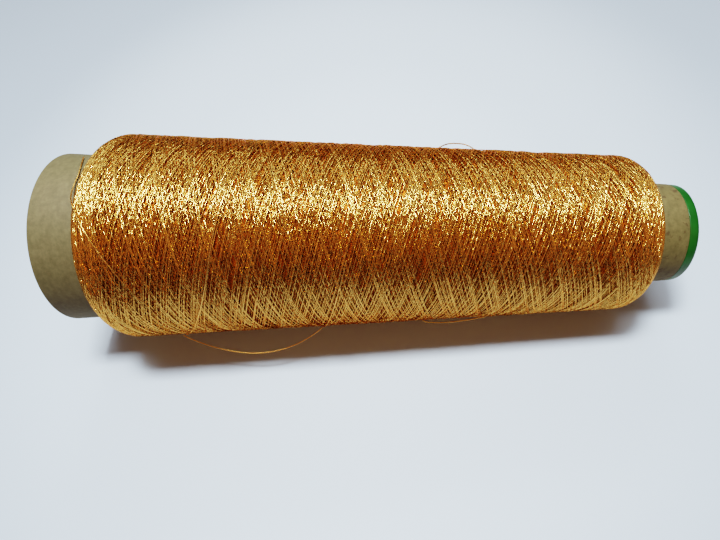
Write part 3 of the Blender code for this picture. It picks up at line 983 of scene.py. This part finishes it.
def floor_material():
    """A sheet of paper with a painted pool of light, paler in the middle, that runs up into the
    backdrop.
    """
    material = bpy.data.materials.new("pale_floor")
    n = Nodes(material)
    output = n.add("ShaderNodeOutputMaterial")
    shader = n.add("ShaderNodeBsdfPrincipled")
    position = n.coordinates()
    x, y, _ = n.separate(position)
    # the painted pool of light: its centre and its reach along x and y
    (centre_x, centre_y), (reach_x, reach_y) = (-0.004, 0.034), (0.118, 0.140)
    across = n.math("DIVIDE", n.math("ADD", x, -centre_x), reach_x)
    deep = n.math("DIVIDE", n.math("ADD", y, -centre_y), reach_y)
    from_middle = n.math("ADD", n.math("MULTIPLY", across, across),
                         n.math("MULTIPLY", deep, deep))
    painted_light_pool = n.ramp(
        n.math("MULTIPLY", from_middle, 0.5),
        [(0.0, BLACK), (0.25, rgba(0.28, 0.28, 0.28)), (1.0, WHITE)],
        "EASE",
    )
    by_camera = n.add("ShaderNodeLightPath").outputs["Is Camera Ray"]
    # painted reflection: in reflections and bounce light the sheet is warmer than it is seen
    # directly
    sheet = n.mix(painted_light_pool, rgba(0.62, 0.78, 0.92), rgba(0.42, 0.54, 0.66))
    warm_painted_reflection = n.mix(painted_light_pool, rgba(0.62, 0.66, 0.74), rgba(0.42, 0.46, 0.53))
    n.put(shader, "Base Color", n.mix(by_camera, warm_painted_reflection, sheet))
    n.put(shader, "Roughness", 0.6)
    # far from the object the paper runs up into the backdrop
    distance = n.math("DIVIDE", n.vector("LENGTH", position), 1.0)
    far = n.rise(distance, start=0.26, end=0.75, interpolation="EASE")
    sweep = n.add("ShaderNodeEmission")
    sweep.inputs["Color"].default_value = BACKDROP
    surface = n.mix_shaders(
        n.math("MULTIPLY", far, by_camera), shader.outputs[0], sweep.outputs[0])
    n.link(surface, output.inputs[0])
    return material


def floor(name, y_from, y_to, material):
    mesh = bpy.data.meshes.new(name)
    corners = [(-FLOOR_REACH, y_from), (FLOOR_REACH, y_from),
               (FLOOR_REACH, y_to), (-FLOOR_REACH, y_to)]
    mesh.from_pydata([(x, y, FLOOR_Z) for x, y in corners], [], [(0, 1, 2, 3)])
    obj = bpy.data.objects.new(name, mesh)
    scene.collection.objects.link(obj)
    mesh.materials.append(material)
    return obj


FLOOR = floor_material()
floor("floor", TABLE_EDGE, FLOOR_REACH, FLOOR)
beyond = floor("floor_front", -FLOOR_REACH, TABLE_EDGE, FLOOR)
beyond.visible_glossy = False
beyond.visible_diffuse = False


# ---------------------------------------------------------------------------------------
# World: a dim room with soft glows overhead, behind and in front
# ---------------------------------------------------------------------------------------
def studio_world():
    world = bpy.data.worlds.new("studio")
    scene.world = world
    n = Nodes(world)
    output = n.add("ShaderNodeOutputWorld")
    room = n.add("ShaderNodeBackground")
    x, y, z = n.separate(n.coordinates("Generated"))
    to_degrees = 180 / math.pi
    # degrees from straight up towards the back (+Y), and degrees out to the side
    tilt = n.math("MULTIPLY", n.math("ARCTAN2", y, z), to_degrees)
    sideways = n.math("MULTIPLY", n.math("ARCSINE", x), to_degrees)

    def glow(centre, width, spread, strength):
        """A soft lobe: width is along the tilt and spread sideways, in degrees."""
        q = n.math("DIVIDE", n.math("SUBTRACT", tilt, centre), width)
        p = n.math("DIVIDE", sideways, spread)
        square = n.math("ADD", n.math("MULTIPLY", q, q), n.math("MULTIPLY", p, p))
        falloff = n.math("POWER", math.e, n.math("MULTIPLY", square, -1.0))
        return n.math("MULTIPLY", falloff, strength)

    front = glow(centre=-42.0, width=22.0, spread=45.0, strength=0.46)
    warm_front = n.vector("SCALE", (1.0, 0.44, 0.25), scale=front)
    behind = n.math(
        "ADD",
        glow(centre=50.0, width=4.0, spread=8.0, strength=8.0),
        glow(centre=46.0, width=14.0, spread=22.0, strength=0.9),
    )
    overhead = glow(centre=8.0, width=9.0, spread=22.0, strength=1.5)
    white = n.vector("SCALE", (1.0, 1.0, 1.0), scale=n.math("ADD", behind, overhead))
    dim_room = (0.012, 0.008, 0.007)
    glows = n.vector("ADD", warm_front, white)
    n.put(room, "Color", n.vector("ADD", glows, dim_room))
    n.put(room, "Strength", 1.6)
    # seen directly, the room is a plain pale backdrop
    backdrop = n.add("ShaderNodeBackground")
    backdrop.inputs["Color"].default_value = BACKDROP
    by_camera = n.add("ShaderNodeLightPath").outputs["Is Camera Ray"]
    n.link(n.mix_shaders(by_camera, room.outputs[0], backdrop.outputs[0]), output.inputs[0])


studio_world()

# ---------------------------------------------------------------------------------------
# Lights, in metres and watts
# ---------------------------------------------------------------------------------------
LIGHT_TARGET = (-0.005, 0, 0.03)


def axes_matrix(right, up, back, position):
    return Matrix([list(row) for row in zip(right, up, back, position)] + [[0, 0, 0, 1]])


def area(name, position, size, power):
    """A rectangular lamp aimed at LIGHT_TARGET, its width along X."""
    light = bpy.data.lights.new(name, "AREA")
    light.shape = "RECTANGLE"
    light.size, light.size_y = size
    light.energy = power
    obj = bpy.data.objects.new(name, light)
    scene.collection.objects.link(obj)
    back = (Vector(position) - Vector(LIGHT_TARGET)).normalized()
    up = back.cross(Vector((1, 0, 0))).normalized()
    right = up.cross(back).normalized()
    obj.matrix_world = axes_matrix(right, up, back, position)


area("key", position=(-0.036, 0.006, 0.52), size=(0.105, 0.075), power=2.6)
area("key_spill", position=(-0.02, 0.010, 0.56), size=(0.34, 0.10), power=1.1)

# ---------------------------------------------------------------------------------------
# Camera, placed in the cone's own frame
# ---------------------------------------------------------------------------------------
ELEVATION = math.radians(51.0)                       # above the front, about the axis
CAMERA_ALONG, CAMERA_DISTANCE, CAMERA_RISE = 85.343, 146.274, 3.583     # mm
YAW, PITCH, ROLL = 0.026, -0.094, 0.008              # small turns, radians
SENSOR_WIDTH, FOCAL_LENGTH = 36.0, 25.24395          # mm


def camera():
    forward = -(math.cos(ELEVATION) * FRONT + math.sin(ELEVATION) * TOP)
    up = math.cos(ELEVATION) * TOP - math.sin(ELEVATION) * FRONT
    basis = np.stack([AXIS, forward, up], 1)
    offset = np.array([CAMERA_ALONG, -CAMERA_DISTANCE, CAMERA_RISE])
    position = (ORIGIN + basis @ offset) * MM
    turn = (Matrix.Rotation(YAW, 3, "Z") @ Matrix.Rotation(PITCH, 3, "X")
            @ Matrix.Rotation(ROLL, 3, "Y"))
    right, forward, up = (basis @ np.array(turn)).T
    data = bpy.data.cameras.new("camera")
    data.sensor_width = SENSOR_WIDTH
    data.lens = FOCAL_LENGTH
    data.clip_start = 0.005
    data.clip_end = 20.0
    obj = bpy.data.objects.new("camera", data)
    scene.collection.objects.link(obj)
    obj.matrix_world = axes_matrix(right, up, -forward, position)
    scene.camera = obj


camera()
scene.view_settings.view_transform = "Filmic"
scene.view_settings.look = "High Contrast"
scene.cycles.filter_width = 1.5
scene.cycles.use_denoising = True
scene.cycles.denoising_prefilter = "NONE"
